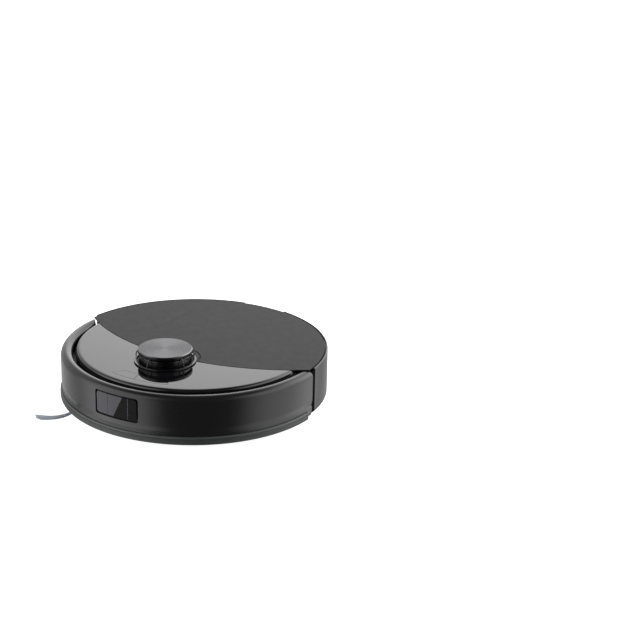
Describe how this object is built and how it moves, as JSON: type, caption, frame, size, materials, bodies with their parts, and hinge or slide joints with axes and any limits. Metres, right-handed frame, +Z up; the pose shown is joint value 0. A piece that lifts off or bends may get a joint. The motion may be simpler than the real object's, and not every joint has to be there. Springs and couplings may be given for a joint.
{
  "type": "robot vacuum",
  "caption": "Low round robot vacuum with a sprung half-ring bumper, gloss front deck, raised spinning range-finder turret, hinged rear lid, brushes, drive wheels and caster.",
  "frame": {"origin": "on the floor, under the middle of the round body", "axes": "+Z up; -Y is the robot's front (bumper side); +X is the robot's left, seen from above with the front towards -Y"},
  "size_m": [0.3536, 0.3518, 0.0964],
  "materials": {
    "base_plastic": "matte",
    "groove_plastic": "matte",
    "shell_plastic": "satin",
    "lid_plastic": "satin",
    "inner_plastic": "matte",
    "grey_plastic": "satin",
    "white_plastic": "satin",
    "gloss_black": "polished",
    "brushed_black": "brushed",
    "sensor_window": "polished",
    "smoked_plastic": "polished",
    "strip_rubber": "matte",
    "rubber": "matte",
    "brush_rubber": "satin",
    "tyre": "matte",
    "side_bristle": "satin",
    "steel": "satin",
    "contact_metal": "polished",
    "circuit_board": "satin",
    "filter_paper": "matte",
    "battery_wrap": "satin"
  },
  "bodies": {
    "chassis": {"bottom_shell": "base_plastic", "front_frame": "groove_plastic", "rear_side_shell": "shell_plastic", "charging_contacts": "contact_metal", "front_deck": "gloss_black", "upper_tray": "inner_plastic", "lid_hinge_pins": "steel", "battery_cover": "base_plastic", "base_screws": "steel", "cliff_sensor_windows": "sensor_window", "bumper_springs": "steel", "lidar_base": "inner_plastic", "lidar_ring": "gloss_black", "lidar_belt": "rubber", "lidar_motor": "steel", "button_board": "circuit_board", "wheel_housing_left": "base_plastic", "wheel_housing_right": "base_plastic", "suspension_springs": "steel", "caster_socket": "base_plastic", "brush_housing": "inner_plastic", "brush_end_bearings": "steel", "brush_motor": "inner_plastic", "dust_duct": "rubber", "side_brush_gearbox": "inner_plastic", "bin_tub": "smoked_plastic", "bin_lid": "shell_plastic", "filter_frame": "grey_plastic", "filter_media": "filter_paper", "fan_housing": "inner_plastic", "fan_motor": "steel", "exhaust_grille": "groove_plastic", "battery_pack": "battery_wrap", "main_board": "circuit_board", "speaker": "groove_plastic"},
    "bumper": {"bumper_shell": "shell_plastic", "bumper_strip": "strip_rubber", "sensor_window": "sensor_window", "obstacle_sensor": "inner_plastic"},
    "range_finder_cap": {"lidar_cap": "brushed_black"},
    "range_finder_rotor": {"lidar_rotor": "gloss_black", "lidar_lenses": "sensor_window"},
    "range_finder_pulley": {"lidar_motor_pulley": "white_plastic"},
    "power_key": {"power_button": "gloss_black"},
    "home_key": {"home_button": "gloss_black"},
    "lid": {"top_lid": "lid_plastic"},
    "main_brush": {"brush_core": "grey_plastic", "brush_blades": "brush_rubber"},
    "brush_guard_frame": {"brush_guard": "grey_plastic"},
    "side_brush": {"side_brush_hub": "grey_plastic", "side_brush_arms": "side_bristle"},
    "left_suspension": {"wheel_arm_left": "inner_plastic"},
    "left_wheel": {"wheel_hub_left": "grey_plastic", "wheel_tyre_left": "tyre"},
    "right_suspension": {"wheel_arm_right": "inner_plastic"},
    "right_wheel": {"wheel_hub_right": "grey_plastic", "wheel_tyre_right": "tyre"},
    "caster_swivel_body": {"caster_fork": "grey_plastic"},
    "caster_roller": {"caster_wheel": "tyre"},
    "fan": {"fan_impeller": "white_plastic"}
  },
  "joints": [
    {"name": "bumper_press", "type": "slide", "parent": "chassis", "child": "bumper", "axis": [0, 1, 0], "range_m": [0, 0.0035], "stiffness_N_per_m": 300, "springref_m": -0.002, "deforming": ["bumper_springs"]},
    {"name": "cap_press", "type": "slide", "parent": "chassis", "child": "range_finder_cap", "axis": [0, 0, -1], "range_m": [0, 0.0008], "stiffness_N_per_m": 400, "springref_m": -0.002},
    {"name": "rotor_spin", "type": "hinge", "parent": "chassis", "child": "range_finder_rotor", "pos_m": [0, -0.0674, 0.08], "axis": [0, 0, 1], "continuous": true},
    {"name": "pulley_spin", "type": "hinge", "parent": "chassis", "child": "range_finder_pulley", "pos_m": [0.052, -0.098, 0.068], "axis": [0, 0, 1], "continuous": true},
    {"name": "power_press", "type": "slide", "parent": "chassis", "child": "power_key", "axis": [0, 0, -1], "range_m": [0, 0.0006], "stiffness_N_per_m": 400, "springref_m": -0.001},
    {"name": "home_press", "type": "slide", "parent": "chassis", "child": "home_key", "axis": [0, 0, -1], "range_m": [0, 0.0006], "stiffness_N_per_m": 400, "springref_m": -0.001},
    {"name": "lid_hinge", "type": "hinge", "parent": "chassis", "child": "lid", "pos_m": [0, -0.0442, 0.0776], "axis": [1, 0, 0], "range_deg": [0, 50]},
    {"name": "main_brush_spin", "type": "hinge", "parent": "chassis", "child": "main_brush", "pos_m": [0, 0.008, 0.024], "axis": [1, 0, 0], "continuous": true},
    {"name": "guard_release", "type": "slide", "parent": "chassis", "child": "brush_guard_frame", "axis": [0, 0, -1], "range_m": [0, 0.02]},
    {"name": "side_brush_spin", "type": "hinge", "parent": "chassis", "child": "side_brush", "pos_m": [-0.1, -0.106, 0.009], "axis": [0, 0, 1], "continuous": true},
    {"name": "left_wheel_drop", "type": "hinge", "parent": "chassis", "child": "left_suspension", "pos_m": [0.1, -0.048, 0.034], "axis": [-1, 0, 0], "range_deg": [0, 25], "stiffness_Nm_per_rad": 0.25, "springref_deg": 68.75},
    {"name": "left_wheel_roll", "type": "hinge", "parent": "left_suspension", "child": "left_wheel", "pos_m": [0.115, 0, 0.034], "axis": [1, 0, 0], "continuous": true},
    {"name": "right_wheel_drop", "type": "hinge", "parent": "chassis", "child": "right_suspension", "pos_m": [-0.1, -0.048, 0.034], "axis": [-1, 0, 0], "range_deg": [0, 25], "stiffness_Nm_per_rad": 0.25, "springref_deg": 68.75},
    {"name": "right_wheel_roll", "type": "hinge", "parent": "right_suspension", "child": "right_wheel", "pos_m": [-0.115, 0, 0.034], "axis": [1, 0, 0], "continuous": true},
    {"name": "caster_swivel", "type": "hinge", "parent": "chassis", "child": "caster_swivel_body", "pos_m": [0, -0.124, 0.02], "axis": [0, 0, 1], "continuous": true},
    {"name": "caster_roll", "type": "hinge", "parent": "caster_swivel_body", "child": "caster_roller", "pos_m": [0, -0.12, 0.012], "axis": [1, 0, 0], "continuous": true},
    {"name": "fan_spin", "type": "hinge", "parent": "chassis", "child": "fan", "pos_m": [0.09, 0.078, 0.05], "axis": [1, 0, 0], "continuous": true}
  ],
  "couplings": [
    {"joint": "pulley_spin", "follows": "rotor_spin", "ratio": 5}
  ]
}
